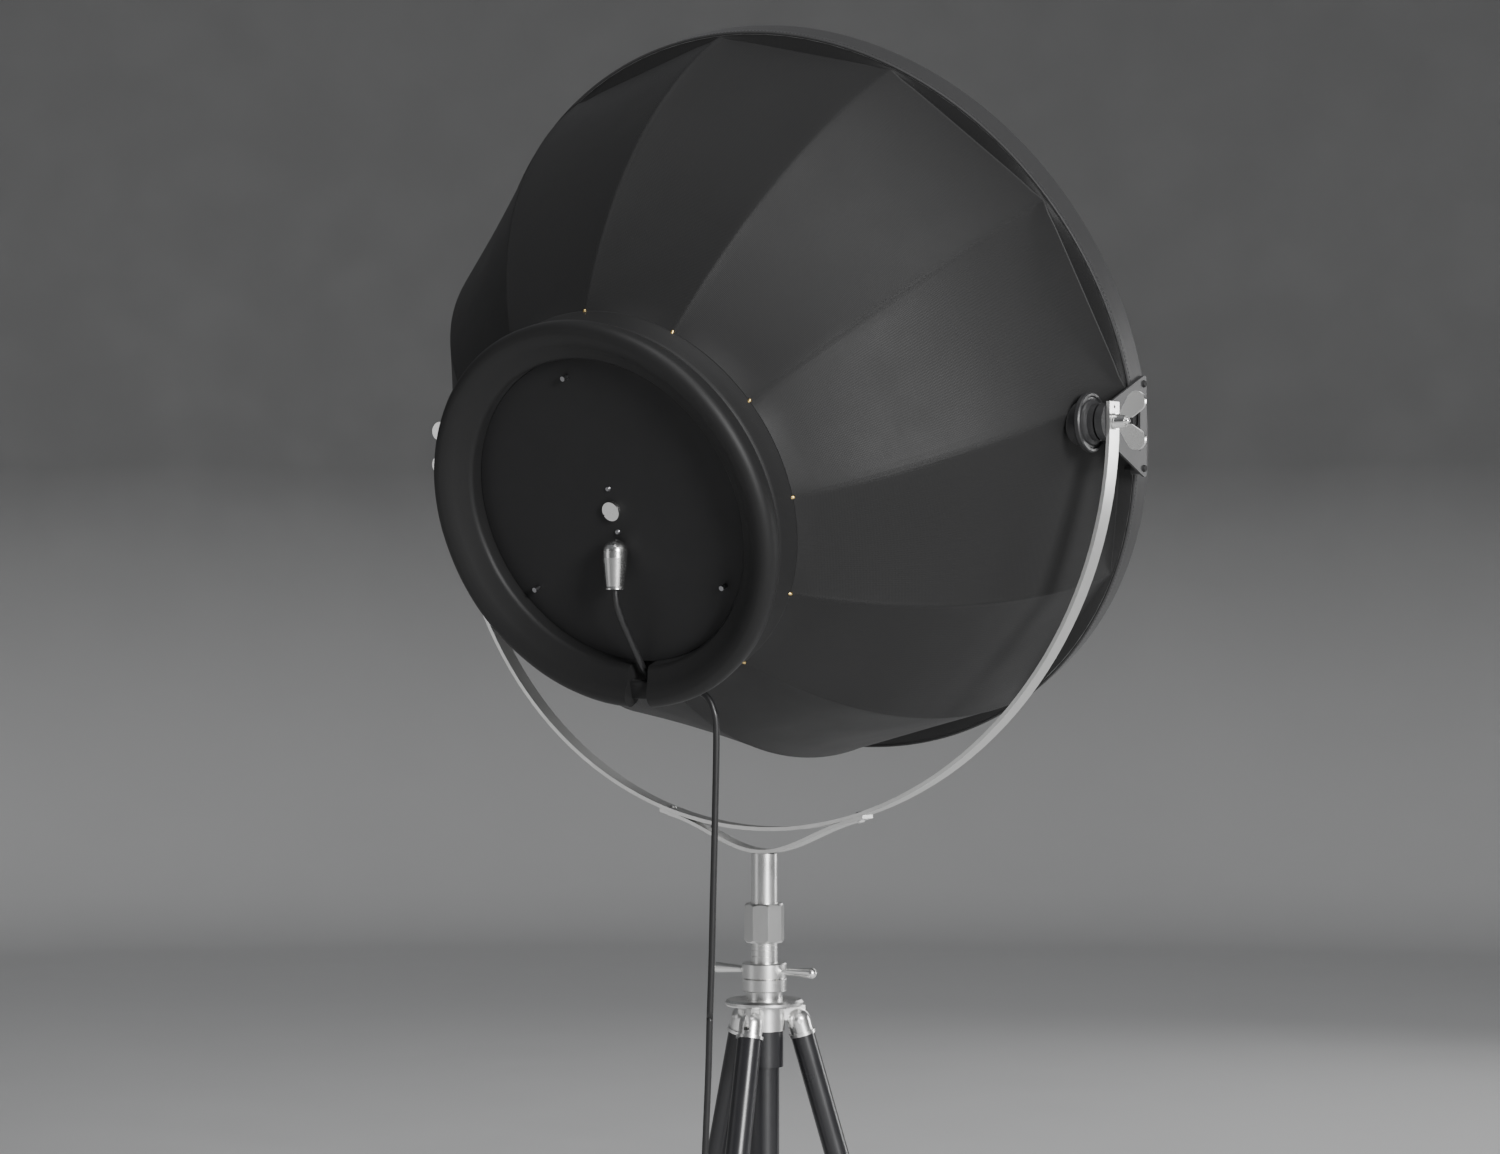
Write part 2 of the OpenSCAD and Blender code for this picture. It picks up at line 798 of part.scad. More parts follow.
// A flange with a stepped face and a neck, and a washer beyond the bracket
module pivot_bosses() {
  color("#161616")
    both_sides()
      difference() {
        pivot_frame()
          rotate([0, 90, 0]) {
            rotate_extrude()
              polygon([
                [bolt_r, bolt_in], [boss_r - 9, bolt_in],
                [boss_r - 9, boss_face - 8], [boss_r - 2, boss_face - 8],
                [boss_r, boss_face - 6], [boss_r, boss_face - 1.5], [boss_r - 1.5, boss_face],
                [boss_r - 4, boss_face], [boss_r - 5.5, boss_face - 1.5], [boss_r - 8, boss_face - 1.5],
                [boss_r - 9, boss_face + 1], [boss_r - 11, boss_face + 2], [boss_neck_r, boss_face + 3],
                [boss_neck_r, bracket_x], [bolt_r, bracket_x]]);
            translate([0, 0, bracket_x + bracket_t])
              difference() {
                cylinder(h = boss_out - bracket_x - bracket_t, r = boss_neck_r);
                translate([0, 0, -1]) cylinder(h = 20, r = bolt_r);
              }
          }
        shade_envelope();
      }
}

module pivot_bolts() {
  color("silver")
    both_sides()
      pivot_frame()
        rotate([0, 90, 0]) {
          translate([0, 0, bolt_in]) cylinder(h = 5, r = 7.5, $fn = 6);
          translate([0, 0, bolt_in + 5]) cylinder(h = bolt_out - bolt_in - 5, r = bolt_r);
          translate([0, 0, bolt_out]) sphere(r = bolt_r);
        }
}

// Triangular plate from the pivot to the rim band, level when the shade is at rest
module bracket() {
  translate([bracket_x, mast_y, pivot_h])
    rotate([90, 0, 90])
      difference() {
        linear_extrude(height = bracket_t)
          difference() {
            hull() {
              circle(r = 15);
              for (v = [-1, 1]) translate([-bracket_reach + 5, v * (bracket_half - 5)]) circle(r = 5);
            }
            polygon([[-92, -30], [-92, 30], [-44, 8], [-44, -8]]);
          }
        translate([0, 0, -1]) cylinder(h = 6, r = bolt_r);
        for (v = [-1, 1])
          translate([-bracket_screw_u, v * bracket_screw_v, -1]) cylinder(h = 6, r = 2.5);
      }
}

module brackets() {
  color("dimgray") both_sides() bracket();
}

// Places a shape on each of a bracket's two screws, +Z outwards
module bracket_screw_axes() {
  both_sides()
    for (v = [-1, 1])
      translate([bracket_x, mast_y - bracket_screw_u, pivot_h + v * bracket_screw_v])
        rotate([0, 90, 0])
          children();
}

module bracket_screws() {
  color("#303030")
    bracket_screw_axes() {
      translate([0, 0, -22]) cylinder(h = 22 + bracket_t, r = 2.5);
      translate([0, 0, bracket_t]) cylinder(h = 2.5, r1 = 4.6, r2 = 3.4);
    }
}

// Spacers between the brackets and the rim band
module bracket_pads() {
  color("#303030")
    difference() {
      bracket_screw_axes()
        translate([0, 0, -20])
          difference() {
            cylinder(h = 20, r = 7);
            translate([0, 0, -1]) cylinder(h = 22, r = 2.5);
          }
      head_frame() translate([0, 0, 300]) cylinder(h = 200, r = rim_r + 0.05, $fn = 180);
    }
}

// ---------------------------------------------------------------- lamp inside

// Hangs plumb from the back plate, so it turns back by the rest tilt
module cable_gland() {
  color("silver")
    head_frame() {
      difference() {
        translate([0, gland_b, gland_w])
          rotate([tilt - 90, 0, 0])
            rotate_extrude()
              polygon(concat(
                [[0, gland_r]],
                [for (a = [80 : -10 : 0]) [gland_r * cos(a), gland_r * sin(a)]],
                [[gland_r - 0.2, -8], [gland_r - 3.6, -41], [gland_r - 3, -43], [gland_r - 3, -44.5],
                 [cord_r + 0.1, -44.5], [cord_r + 0.1, -10], [0, -10]]));
        translate([-20, gland_b - 20, plate_w - eps]) cube([40, 40, 20]);
      }
      translate([0, gland_b, plate_w - 4]) cylinder(h = 4, r = 7);
    }
}

module cord_clip() {
  color("#1a1a1a")
    head_frame()
      translate(clip_at)
        rotate([0, -90, 0])
          difference() {
            union() {
              cylinder(h = 10, r = cord_r + 2);
              translate([-4, 0, 0]) cube([8, 5.5, 10]);
            }
            translate([0, 0, -1]) cylinder(h = 12, r = cord_r + 0.3);
          }
}

module lampholder() {
  color("#d8d4c8")
    head_frame()
      difference() {
        union() {
          translate([0, 0, hub_plate_w]) cylinder(h = 8, r = holder_r + 9);
          translate([0, 0, hub_plate_w + 8]) cylinder(h = 60, r = holder_r);
        }
        translate([0, 0, hub_plate_w + 20]) cylinder(h = 60, r = holder_bore);
      }
}

module bulb_base() {
  color("silver")
    head_frame()
      difference() {
        translate([0, 0, hub_plate_w + 24]) cylinder(h = 46, r = holder_bore - 0.8);
        translate([0, 0, hub_plate_w + 60]) cylinder(h = 20, r = 17);
      }
}

module bulb_glass() {
  color([1, 1, 1, 0.35])
    head_frame()
      rotate_extrude()
        polygon(concat(
          [[0, hub_plate_w + 61], [16.5, hub_plate_w + 61], [16.5, 64], [22, 84], [32, 100]],
          [for (a = [-35 : 7 : 84]) [bulb_r * cos(a), bulb_mid + bulb_r * sin(a)]],
          [[0, bulb_mid + bulb_r]]));
}

// ---------------------------------------------------------------- cord

module cord_upper() {
  color("#222222") head_frame() cord(upper_route, 3);
}

module cord_drop() {
  color("#222222") mast_frame() cord(drop_route, 2);
}

module cord_middle() {
  color("#222222") mast_frame() cord(middle_route, 2);
}

module cord_lower() {
  color("#222222") mast_frame() cord(lower_route, 2);
}

// The shape that the coil's turns fill
module cord_coil() {
  color("#222222")
    mast_frame()
      translate([coil_at[0], coil_at[1], 0])
        rotate_extrude()
          translate([coil_inner - cord_r, 0]) square([coil_outer - coil_inner + 2 * cord_r, coil_h]);
}

module cord_link() {
  color("#222222") mast_frame() cord(link_route, 2);
}

module cord_tail() {
  color("#222222") mast_frame() cord(tail_route, 2);
}

// Foot switch on the cord, with a strain relief at each end and a round button on top
module switch_body() {
  color("#1a1a1a")
    mast_frame() translate([switch_at[0], switch_at[1], 0]) {
      difference() {
        hull()
          for (x = [-1, 1]) for (y = [-1, 1])
            translate([x * (switch_l / 2 - 8), y * (switch_w / 2 - 8), 0])
              cylinder(h = switch_h, r1 = 8, r2 = 6, $fn = 32);
        translate([0, 0, switch_h - 7]) cylinder(h = 20, r = button_r + 0.3);
      }
      both_sides()
        translate([switch_l / 2 - 2, 0, cord_h])
          rotate([0, 90, 0]) cylinder(h = relief_l + 2, r1 = 7.5, r2 = cord_r + 1);
    }
}

module switch_button() {
  color("#303030")
    mast_frame() translate([switch_at[0], switch_at[1], switch_h - 3.5]) cylinder(h = 8, r = button_r);
}

module plug_frame() {
  mast_frame()
    translate([coil_at[0] - plug_out, coil_at[1] + coil_outer, plug_r])
      rotate([0, -90, 0])
        children();
}

module plug_body() {
  color("#1a1a1a") plug_frame() cylinder(h = plug_l, r1 = 7, r2 = plug_r);
}

module plug_pins() {
  pin_gap = 19;
  color("silver")
    plug_frame()
      for (y = [-1, 1]) translate([0, y * pin_gap / 2, plug_l]) cylinder(h = 19, r = 2.4, $fn = 24);
}

// ---------------------------------------------------------------- choose

tripod_flange();
tripod_hub();
column_sleeve();
column_tube();
column_end_cap();
lower_clamp_ring();
clamp_collet();
leg_1_cap();
leg_1_tube();
leg_1_foot();
leg_1_pin();
leg_2_cap();
leg_2_tube();
leg_2_foot();
leg_2_pin();
leg_3_cap();
leg_3_tube();
leg_3_foot();
leg_3_pin();
clamp_ring();
clamp_handles();
mast_pole();
mast_guide();
swivel_nut();
yoke_stub();
yoke_support();
yoke_strip();
yoke_rivets();
wing_nut_left();
wing_nut_right();
shade_cover();
shade_lining();
ribs();
rib_roots();
rim_band();
hub_plate();
back_plate();
plate_studs();
plate_screws();
centre_screw();
rear_ring();
rear_band();
pivot_bosses();
pivot_bolts();
brackets();
bracket_screws();
bracket_pads();
cable_gland();
cord_clip();
lampholder();
bulb_base();
bulb_glass();
cord_upper();
cord_drop();
cord_middle();
cord_lower();
cord_coil();
cord_link();
cord_tail();
switch_body();
switch_button();
plug_body();
plug_pins();
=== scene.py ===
"""Studio reflector lamp: a twelve-panel cloth shade in a U-shaped yoke, on a mast and a folding tripod.

Everything is in metres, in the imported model's own frame: +Z up, the light shining to -Y.
"""

import math

import bmesh
import bpy
from mathutils import Matrix, Vector, noise


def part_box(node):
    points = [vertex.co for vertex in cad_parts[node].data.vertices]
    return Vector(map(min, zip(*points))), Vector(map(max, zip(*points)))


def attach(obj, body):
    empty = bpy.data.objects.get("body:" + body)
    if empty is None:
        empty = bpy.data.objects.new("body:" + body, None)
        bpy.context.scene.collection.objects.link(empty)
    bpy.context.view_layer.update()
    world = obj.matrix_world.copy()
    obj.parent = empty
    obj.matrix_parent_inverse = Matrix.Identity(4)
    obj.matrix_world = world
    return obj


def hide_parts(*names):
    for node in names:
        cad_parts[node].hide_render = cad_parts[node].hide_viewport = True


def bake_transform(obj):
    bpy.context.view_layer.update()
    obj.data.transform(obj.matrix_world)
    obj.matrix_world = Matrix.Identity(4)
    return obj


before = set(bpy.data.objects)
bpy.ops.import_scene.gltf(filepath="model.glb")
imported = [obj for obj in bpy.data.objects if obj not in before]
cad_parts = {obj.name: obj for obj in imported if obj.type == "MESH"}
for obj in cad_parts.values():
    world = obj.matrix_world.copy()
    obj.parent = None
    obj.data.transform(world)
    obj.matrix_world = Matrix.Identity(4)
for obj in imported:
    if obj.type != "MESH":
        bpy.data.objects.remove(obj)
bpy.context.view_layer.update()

MM = 0.001


def middle(node):
    """The middle of a CAD node's box."""
    low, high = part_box(node)
    return (Vector(low) + Vector(high)) / 2


# ---------------------------------------------------------------- driving dimensions

PIVOT = Vector((0, middle("pivot_bolts").y, middle("pivot_bolts").z))
TILT = math.radians(21)
# The tilt axis passes 17 mm below the lamp's axis, 300 mm forward of the rib roots.
PIVOT_BELOW = 17 * MM
PIVOT_FORWARD = 300 * MM

# The shade's own frame: z runs along the lamp's axis towards the mouth, from the rib roots.
HEAD = (
    Matrix.Translation(PIVOT)
    @ Matrix.Rotation(math.pi / 2 - TILT, 4, "X")
    @ Matrix.Translation((0, PIVOT_BELOW, -PIVOT_FORWARD))
)

PANELS = 12
HALF_PANEL = math.pi / PANELS
ROOT_R = 231.5 * MM
RIB_BEND = 590 * MM
RIB_A0 = math.radians(36)
RIB_A1 = math.radians(80.5)
RIB_LENGTH = RIB_BEND * (RIB_A1 - RIB_A0)
RIM_R = (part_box("rim_band")[1][0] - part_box("rim_band")[0][0]) / 2
BAND_REAR = 383 * MM
BAND_FRONT = 421 * MM
RING_IN = 188 * MM
RING_OUT = 236 * MM
SLOT_HALF = 15 * MM
RING_MID_R = 212 * MM
COLLAR_R = 226 * MM
CORD_D = 8 * MM
CORD_R = CORD_D / 2

# The mast's foot point on the floor.
MAST = Matrix.Translation((0, PIVOT.y, 0))

# ---------------------------------------------------------------- camera

VIEW_FROM = PIVOT + Vector((-2.3485, 3.4819, -0.2417))
VIEW_ALONG = Vector((0.5626, -0.8266, 0.0157))

camera_data = bpy.data.cameras.new("camera")
camera_data.sensor_width = 36
camera_data.sensor_fit = "HORIZONTAL"
camera_data.lens = 81.49
camera = bpy.data.objects.new("camera", camera_data)
camera.location = VIEW_FROM
camera.rotation_euler = VIEW_ALONG.to_track_quat("-Z", "Y").to_euler()
bpy.context.collection.objects.link(camera)
bpy.context.scene.camera = camera

# ---------------------------------------------------------------- mesh helpers


def make_object(name, bm, material):
    """A mesh object from a bmesh, shaded smooth."""
    mesh = bpy.data.meshes.new(name)
    bm.normal_update()
    bm.to_mesh(mesh)
    bm.free()
    for face in mesh.polygons:
        face.use_smooth = True
    obj = bpy.data.objects.new(name, mesh)
    bpy.context.collection.objects.link(obj)
    mesh.materials.append(material)
    return obj


def grid_mesh(rows, wrap, uv_at=None, caps=False):
    """A bmesh from rows of points. wrap joins each row's end to its start."""
    bm = bmesh.new()
    uv_layer = bm.loops.layers.uv.new("uv")
    verts = [[bm.verts.new(p) for p in row] for row in rows]
    across = len(rows[0])
    for i in range(len(rows) - 1):
        for k in range(across if wrap else across - 1):
            n = (k + 1) % across
            face = bm.faces.new((verts[i][k], verts[i][n], verts[i + 1][n], verts[i + 1][k]))
            if uv_at:
                for loop, (a, b) in zip(face.loops, ((i, k), (i, k + 1), (i + 1, k + 1), (i + 1, k))):
                    loop[uv_layer].uv = uv_at(a, b)
    if caps:
        bm.faces.new(list(reversed(verts[0])))
        bm.faces.new(verts[-1])
    bmesh.ops.recalc_face_normals(bm, faces=bm.faces)
    return bm


def add_rings(bm, rings):
    """A closed skin over rings of verts."""
    around = len(rings[0])
    for first, second in zip(rings, rings[1:]):
        for k in range(around):
            n = (k + 1) % around
            bm.faces.new((first[k], first[n], second[n], second[k]))
    bm.faces.new(list(reversed(rings[0])))
    bm.faces.new(rings[-1])


def smooth_path(points, steps):
    """Points on a smooth curve through the given ones."""
    out = []
    last = len(points) - 1
    for i in range(last):
        a, b = points[max(i - 1, 0)], points[i]
        c, e = points[i + 1], points[min(i + 2, last)]
        for step in range(steps):
            t = step / steps
            out.append(
                b + 0.5 * (
                    (c - a) * t + (2 * a - 5 * b + 4 * c - e) * t**2 + (3 * b - a - 3 * c + e) * t**3
                )
            )
    return out + [points[last]]


def tube(name, path, radius, material, sides=14):
    """A round tube along a path, with closed ends. UV: around, and along in metres."""
    tangents = [
        (path[min(i + 1, len(path) - 1)] - path[max(i - 1, 0)]).normalized() for i in range(len(path))
    ]
    first = tangents[0]
    side = first.cross(Vector((0, 1, 0)) if abs(first.z) > 0.9 else Vector((0, 0, 1))).normalized()
    rows, along = [], [0.0]
    for i, (point, tangent) in enumerate(zip(path, tangents)):
        side = (side - tangent * side.dot(tangent)).normalized()
        up = tangent.cross(side)
        rows.append([
            point + radius * (math.cos(a) * side + math.sin(a) * up)
            for a in (2 * math.pi * k / sides for k in range(sides))
        ])
        if i:
            along.append(along[-1] + (path[i] - path[i - 1]).length)
    bm = grid_mesh(rows, True, lambda i, k: (k / sides, along[i]), caps=True)
    return make_object(name, bm, material)


# ---------------------------------------------------------------- materials


class Shader:
    """A principled material under construction."""

    def __init__(self, name, base, rough, metallic=0.0, **constants):
        self.material = bpy.data.materials.new(name)
        self.material.use_nodes = True
        self.tree = self.material.node_tree
        self.nodes = self.tree.nodes
        self.bsdf = self.nodes["Principled BSDF"]
        self.base = (*base, 1)
        self.bsdf.inputs["Base Color"].default_value = self.base
        self.bsdf.inputs["Roughness"].default_value = rough
        self.bsdf.inputs["Metallic"].default_value = metallic
        for key, value in constants.items():
            self.bsdf.inputs[key.replace("_", " ")].default_value = value
        coordinates = self.nodes.new("ShaderNodeTexCoord")
        self.object = coordinates.outputs["Object"]
        self.uv = coordinates.outputs["UV"]
        self.normal = None

    def link(self, a, b):
        self.tree.links.new(a, b)

    def scaled(self, source, scale):
        """Coordinates stretched by a scale on each axis."""
        mapping = self.nodes.new("ShaderNodeMapping")
        mapping.inputs["Scale"].default_value = scale
        self.link(source, mapping.inputs["Vector"])
        return mapping.outputs["Vector"]

    def noise(self, scale, detail=4, source=None, roughness=0.55):
        node = self.nodes.new("ShaderNodeTexNoise")
        node.inputs["Scale"].default_value = scale
        node.inputs["Detail"].default_value = detail
        node.inputs["Roughness"].default_value = roughness
        self.link(source or self.object, node.inputs["Vector"])
        return node.outputs["Fac"]

    def wave(self, scale, direction, source, distortion=0.0):
        node = self.nodes.new("ShaderNodeTexWave")
        node.bands_direction = direction
        node.inputs["Scale"].default_value = scale
        node.inputs["Distortion"].default_value = distortion
        node.inputs["Detail"].default_value = 1
        self.link(source, node.inputs["Vector"])
        return node.outputs["Fac"]

    def spread(self, value, low, high, start=0.35, end=0.65):
        """value, usually noise, mapped from start..end to low..high."""
        node = self.nodes.new("ShaderNodeMapRange")
        node.inputs["From Min"].default_value = start
        node.inputs["From Max"].default_value = end
        node.inputs["To Min"].default_value = low
        node.inputs["To Max"].default_value = high
        self.link(value, node.inputs["Value"])
        return node.outputs["Result"]

    def joined(self, a, b, how="MULTIPLY"):
        node = self.nodes.new("ShaderNodeMath")
        node.operation = how
        self.link(a, node.inputs[0])
        self.link(b, node.inputs[1])
        return node.outputs["Value"]

    def tint(self, value, dark, light):
        """Base colour between two multiples of the material's own colour."""
        node = self.nodes.new("ShaderNodeMix")
        node.data_type = "RGBA"
        node.inputs["A"].default_value = (*[c * dark for c in self.base[:3]], 1)
        node.inputs["B"].default_value = (*[min(c * light, 1) for c in self.base[:3]], 1)
        self.link(value, node.inputs["Factor"])
        self.link(node.outputs["Result"], self.bsdf.inputs["Base Color"])

    def roughen(self, value, low, high, start=0.35, end=0.65):
        self.link(self.spread(value, low, high, start, end), self.bsdf.inputs["Roughness"])

    def bump(self, height, distance, strength=1.0):
        node = self.nodes.new("ShaderNodeBump")
        node.inputs["Distance"].default_value = distance
        node.inputs["Strength"].default_value = strength
        self.link(height, node.inputs["Height"])
        if self.normal:
            self.link(self.normal, node.inputs["Normal"])
        self.normal = node.outputs["Normal"]
        self.link(self.normal, self.bsdf.inputs["Normal"])


def metal(name, base, rough, grain=(2500, 2500, 40), wear=0.05):
    """Drawn or turned metal: fine grain along one direction, and faint handling marks."""
    s = Shader(name, base, rough, metallic=1.0)
    streaks = s.noise(1, 3, s.scaled(s.object, grain))
    marks = s.noise(14, 4)
    s.tint(marks, 0.95, 1.03)
    s.roughen(s.joined(streaks, marks, "ADD"), rough - wear, rough + wear, 0.7, 1.3)
    s.bump(streaks, 0.00001, 0.15)
    return s.material


def enamel(name, base, rough, peel=0.00003, coat=0.15, gloss=0.5):
    """Sprayed paint: orange peel, dust-fine specks and slight unevenness of gloss."""
    s = Shader(
        name, base, rough, Coat_Weight=coat, Coat_Roughness=0.25, Specular_IOR_Level=gloss,
    )
    s.tint(s.noise(8, 4), 0.93, 1.1)
    s.roughen(s.noise(25, 4), rough - 0.03, rough + 0.04)
    s.bump(s.noise(900, 2), peel, 0.5)
    return s.material


def plastic(name, base, rough, texture=0.00006):
    """Moulded plastic with a spark-eroded texture."""
    s = Shader(name, base, rough)
    s.tint(s.noise(25, 4), 0.85, 1.2)
    s.roughen(s.noise(90, 4), rough - 0.08, rough + 0.08)
    s.bump(s.noise(1400, 3), texture, 0.6)
    return s.material


def cloth(name, base, rough, sheen, threads_per_m=1100, depth=0.00012, tint=(0.9, 1.12), **constants):
    """Plain-woven cloth. The weave follows the UV, which is in metres along the cloth."""
    s = Shader(
        name, base, rough, Sheen_Weight=sheen, Sheen_Roughness=0.45, Sheen_Tint=(0.8, 0.8, 0.82, 1),
        Specular_IOR_Level=0.25, **constants,
    )
    # A wave texture has about one band in each 0.314 of its coordinate at scale 1.
    scale = threads_per_m * 0.314 / 2
    warp = s.wave(scale, "X", s.uv, 0.4)
    weft = s.wave(scale, "Y", s.uv, 0.4)
    weave = s.joined(warp, weft, "ADD")
    s.tint(s.joined(s.noise(5, 5), s.spread(weave, -0.08, 0.08, 0, 2), "ADD"), *tint)
    s.roughen(s.noise(12, 4), rough - 0.03, rough + 0.03)
    s.bump(s.noise(9, 2), 0.0006, 0.12)
    s.bump(weave, depth, 0.5)
    return s.material


def cord_rubber():
    """Smooth extruded jacket, a little dusty."""
    s = Shader("cord_rubber", (0.012, 0.012, 0.0125), 0.5)
    s.tint(s.noise(40, 4), 0.8, 1.3)
    s.roughen(s.noise(120, 4), 0.34, 0.52)
    s.bump(s.noise(700, 3), 0.00004, 0.5)
    return s.material


def frosted_glass():
    s = Shader("frosted_glass", (0.95, 0.95, 0.93), 0.35, Transmission_Weight=0.6, IOR=1.45)
    s.tint(s.noise(50, 3), 0.96, 1.0)
    s.roughen(s.noise(200, 3), 0.3, 0.45)
    s.bump(s.noise(1500, 2), 0.00002, 0.4)
    return s.material


SATIN = metal("satin_metal", (0.88, 0.88, 0.87), 0.30)
STRIP = metal("yoke_metal", (0.74, 0.74, 0.73), 0.34, grain=(40, 2500, 40))
BRIGHT = metal("bright_metal", (0.84, 0.84, 0.83), 0.24, grain=(600, 600, 600))
BRASS = metal("brass", (0.78, 0.56, 0.22), 0.28, grain=(900, 900, 900))
RIB_STEEL = metal("rib_steel", (0.30, 0.30, 0.31), 0.35, grain=(900, 900, 900))
TUBE_BLACK = enamel("tube_black", (0.018, 0.018, 0.020), 0.3)
PLATE_BLACK = enamel("plate_black", (0.011, 0.011, 0.0115), 0.62, coat=0.0, gloss=0.3)
BRACKET_GREY = enamel("bracket_grey", (0.030, 0.030, 0.031), 0.62)
PLASTIC = plastic("black_plastic", (0.022, 0.022, 0.023), 0.45)
RUBBER = plastic("foot_rubber", (0.016, 0.016, 0.016), 0.7, 0.0001)
CERAMIC = plastic("lampholder_ceramic", (0.78, 0.75, 0.68), 0.25, 0.00002)
CORD = cord_rubber()
GLASS = frosted_glass()
COVER_CLOTH = cloth("cover_cloth", (0.014, 0.014, 0.0142), 0.55, 0.02)
BAND_CLOTH = cloth("band_cloth", (0.011, 0.011, 0.0112), 0.55, 0.02)
RING_CLOTH = cloth("ring_cloth", (0.012, 0.012, 0.0122), 0.5, 0.02, threads_per_m=1400, depth=0.00008)
RIM_CLOTH = cloth("rim_cloth", (0.032, 0.032, 0.0325), 0.45, 0.04, threads_per_m=1400, depth=0.00008)
LINING_CLOTH = cloth("lining_cloth", (0.84, 0.84, 0.83), 0.45, 0.2, tint=(0.93, 1.05))
THREAD = cloth("thread", (0.05, 0.05, 0.052), 0.6, 0.3, threads_per_m=4000, depth=0.0001)

# ---------------------------------------------------------------- cords


def routed(points, matrix=None):
    """A route, given in millimetres."""
    points = [Vector(p) * MM for p in points]
    return [matrix @ p for p in points] if matrix else points


UPPER_ROUTE = routed([
    (0, -83, -57), (0, -93, -60.5), (0, -105, -62), (0, -120, -60), (0, -138, -55.5), (0, -156, -50.5),
    (0, -174, -45.5), (0, -190, -41), (0, -202, -36.5), (-3, -213, -31), (-10, -223, -25),
    (-21, -230, -19), (-33, -232, -15.5), (-46, -232, -14),
], HEAD)
DROP_ROUTE = routed([
    (-46, 216, 1427), (-57, 216, 1425), (-67, 215, 1417), (-73, 214, 1404), (-75, 212, 1388),
    (-73, 209, 1350), (-69, 205, 1300), (-64, 200, 1240), (-58, 194, 1180), (-52, 188, 1110),
    (-45, 182, 1040),
], MAST)
MIDDLE_ROUTE = routed([(-45, 182, 1040), (-39, 176, 980), (-32, 170, 920), (-24, 163, 860)], MAST)
LOWER_ROUTE = routed([
    (-24, 163, 860), (-16, 154, 800), (-6, 143, 720), (3, 132, 630), (10, 122, 540), (15, 113, 450),
    (18, 104, 360), (20, 95, 270), (21, 86, 190), (23, 79, 120), (28, 74, 70), (37, 71, 36),
    (48, 70, 18), (62, 70, 10),
], MAST)

COIL_AT = middle("cord_coil").xy
COIL_OUTER = (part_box("cord_coil")[1][0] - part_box("cord_coil")[0][0]) / 2 - CORD_R
COIL_PITCH = 8.2 * MM
COIL_TURNS = 5.5
COIL_LOW = CORD_R
COIL_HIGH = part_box("cord_coil")[1][2] - CORD_R
STEPS_PER_TURN = 40


def smoothstep(t):
    t = min(max(t, 0), 1)
    return t * t * (3 - 2 * t)


def coil_points():
    """Turns that spiral in on the floor, step up, and spiral out on top."""
    half = COIL_TURNS / 2
    inner = COIL_OUTER - COIL_PITCH * half
    points = []
    for step in range(round(COIL_TURNS * STEPS_PER_TURN) + 1):
        t = step / STEPS_PER_TURN
        radius = inner + COIL_PITCH * abs(half - t)
        angle = 2 * math.pi * t - math.pi / 2
        height = COIL_LOW + (COIL_HIGH - COIL_LOW) * smoothstep((t - half + 0.25) / 0.5)
        points.append(Vector((
            COIL_AT.x + radius * math.cos(angle), COIL_AT.y + radius * math.sin(angle), height,
        )))
    return points


def free_cord(name, path, body=None, nodes=()):
    """A length of the supply cord: a tube along its route, in place of the CAD nodes it hides."""
    piece = tube(name, path, CORD_R, CORD)
    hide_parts(*nodes)
    if body:
        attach(piece, body)
    return piece


free_cord("cord_from_gland", smooth_path(UPPER_ROUTE, 6), "head", ["cord_upper"])

drop_cord = free_cord("cord_hanging", smooth_path(DROP_ROUTE, 6), None, ["cord_drop"])
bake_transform(drop_cord)

middle_cord = free_cord("cord_past_mast", smooth_path(MIDDLE_ROUTE, 10), None, ["cord_middle"])
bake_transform(middle_cord)

lower_cord = free_cord(
    "cord_to_switch", smooth_path(LOWER_ROUTE, 8), None, ["cord_lower"],
)
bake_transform(lower_cord)


def slack_path():
    """From the foot switch, round the coil, and out to the plug."""
    link_low, link_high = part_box("cord_link")
    start = Vector((link_low[0], (link_low[1] + link_high[1]) / 2, 10 * MM))
    turns = coil_points()
    tail = Vector((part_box("cord_tail")[0][0], turns[-1].y, 15 * MM))
    lead_in = [start, start.lerp(turns[0], 0.5) + Vector((0, 0, -1 * MM))]
    return smooth_path(lead_in + turns + [turns[-1].lerp(tail, 0.5), tail], 2)


def arc(centre, radius, start, end, steps):
    """Points of an arc of a profile, in degrees."""
    return [
        (
            centre[0] + radius * math.cos(math.radians(start + (end - start) * i / steps)),
            centre[1] + radius * math.sin(math.radians(start + (end - start) * i / steps)),
        )
        for i in range(steps + 1)
    ]


